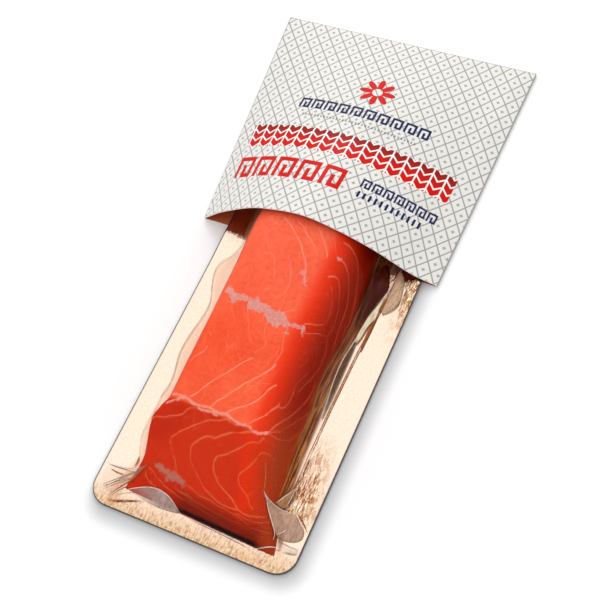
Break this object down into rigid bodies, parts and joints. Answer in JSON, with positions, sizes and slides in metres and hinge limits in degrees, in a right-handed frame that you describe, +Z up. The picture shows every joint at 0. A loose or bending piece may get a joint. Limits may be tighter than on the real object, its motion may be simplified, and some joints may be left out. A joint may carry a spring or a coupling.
{
  "type": "pack of smoked salmon",
  "caption": "Skin-packed piece of smoked salmon fillet on a gold foil card with rounded corners, half inside a flat printed board sleeve, lying fish side up.",
  "frame": {"origin": "middle of the pack's outline on the surface it lies on", "axes": "+X across the pack, +Y along it from the open end of the card towards the sleeve's flat far end, +Z up out of the fish"},
  "size_m": [0.1352, 0.2794, 0.0306],
  "materials": {
    "gold_card": "gloss",
    "salmon_fillet": "satin",
    "clear_film": "gloss",
    "printed_sleeve": "satin"
  },
  "bodies": {
    "root": {"gold_card": "gold_card", "salmon_fillet": "salmon_fillet", "clear_film": "clear_film", "printed_sleeve": "printed_sleeve"}
  },
  "joints": []
}
